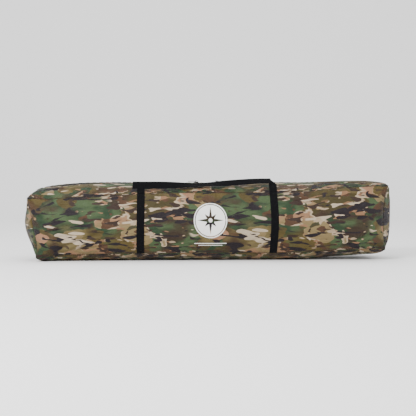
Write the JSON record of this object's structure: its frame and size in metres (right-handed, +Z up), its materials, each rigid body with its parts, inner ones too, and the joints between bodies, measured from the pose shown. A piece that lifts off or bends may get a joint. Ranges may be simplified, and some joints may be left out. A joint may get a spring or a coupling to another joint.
{
  "type": "carry bag",
  "caption": "Long camouflage duffel-style carry bag for gear, zipped along the top, with two webbing carry handles that swing over the sides.",
  "frame": {"origin": "middle of the base, on the surface that the bag stands on", "axes": "+X along the bag's length, -Y the printed front, +Z up"},
  "size_m": [1.22, 0.2632, 0.2674],
  "materials": {
    "camo_polyester": "coated woven polyester with a multicolour camouflage print, slightly sheeny",
    "black_webbing": "ribbed webbing",
    "binding_tape": "matt grosgrain tape",
    "zipper_tape": "matt twill tape",
    "zipper_coil": "satin nylon coil",
    "slider_metal": "black enamel",
    "black_thread": "thread",
    "white_ink": "matt screen-printed ink"
  },
  "bodies": {
    "bag": {"front_panel": "camo_polyester", "back_panel": "camo_polyester", "bottom_panel": "camo_polyester", "left_end_panel": "camo_polyester", "right_end_panel": "camo_polyester", "left_top_yoke": "camo_polyester", "right_top_yoke": "camo_polyester", "binding_front_upper": "binding_tape", "binding_front_lower": "binding_tape", "binding_back_upper": "binding_tape", "binding_back_lower": "binding_tape", "binding_left_end": "binding_tape", "binding_right_end": "binding_tape", "left_zipper_tab": "binding_tape", "right_zipper_tab": "binding_tape", "front_strap_left": "black_webbing", "front_strap_right": "black_webbing", "back_strap_left": "black_webbing", "back_strap_right": "black_webbing", "front_bar_tacks": "black_thread", "back_bar_tacks": "black_thread", "front_print": "white_ink"},
    "front_flap": {"top_front_flap": "camo_polyester", "zipper_tape_front": "zipper_tape", "zipper_coil_front": "zipper_coil"},
    "back_flap": {"top_back_flap": "camo_polyester", "zipper_tape_back": "zipper_tape", "zipper_coil_back": "zipper_coil"},
    "slider_left": {"zipper_slider_left": "slider_metal"},
    "slider_right": {"zipper_slider_right": "slider_metal"},
    "pull_left": {"zipper_pull_left": "slider_metal"},
    "pull_right": {"zipper_pull_right": "slider_metal"},
    "handle_front": {"front_handle": "black_webbing"},
    "handle_back": {"back_handle": "black_webbing"}
  },
  "joints": [
    {"name": "front_flap_hinge", "type": "hinge", "parent": "bag", "child": "front_flap", "pos_m": [0, -0.0925, 0.224], "axis": [-1, 0, 0], "range_deg": [0, 100], "deforming": ["zipper_tape_front", "zipper_coil_front"]},
    {"name": "back_flap_hinge", "type": "hinge", "parent": "bag", "child": "back_flap", "pos_m": [0, 0.0925, 0.224], "axis": [1, 0, 0], "range_deg": [0, 100], "deforming": ["zipper_tape_back", "zipper_coil_back"]},
    {"name": "slider_right_slide", "type": "slide", "parent": "bag", "child": "slider_right", "axis": [1, 0, 0], "range_m": [0, 0.5]},
    {"name": "slider_left_slide", "type": "slide", "parent": "bag", "child": "slider_left", "axis": [-1, 0, 0], "range_m": [0, 0.5]},
    {"name": "pull_right_hinge", "type": "hinge", "parent": "slider_right", "child": "pull_right", "pos_m": [0.034, 0, 0.2623], "axis": [0, -1, 0], "range_deg": [0, 175]},
    {"name": "pull_left_hinge", "type": "hinge", "parent": "slider_left", "child": "pull_left", "pos_m": [-0.034, 0, 0.2623], "axis": [0, 1, 0], "range_deg": [0, 175]},
    {"name": "front_handle_hinge", "type": "hinge", "parent": "bag", "child": "handle_front", "pos_m": [0, -0.09445, 0.22601], "axis": [1, 0, 0], "range_deg": [0, 155]},
    {"name": "back_handle_hinge", "type": "hinge", "parent": "bag", "child": "handle_back", "pos_m": [0, 0.09445, 0.22601], "axis": [-1, 0, 0], "range_deg": [0, 180]}
  ],
  "couplings": [
    {"joint": "back_flap_hinge", "follows": "front_flap_hinge", "ratio": 1},
    {"joint": "slider_right_slide", "follows": "front_flap_hinge", "m_per_rad": 0.2864},
    {"joint": "slider_left_slide", "follows": "front_flap_hinge", "m_per_rad": 0.2864}
  ]
}
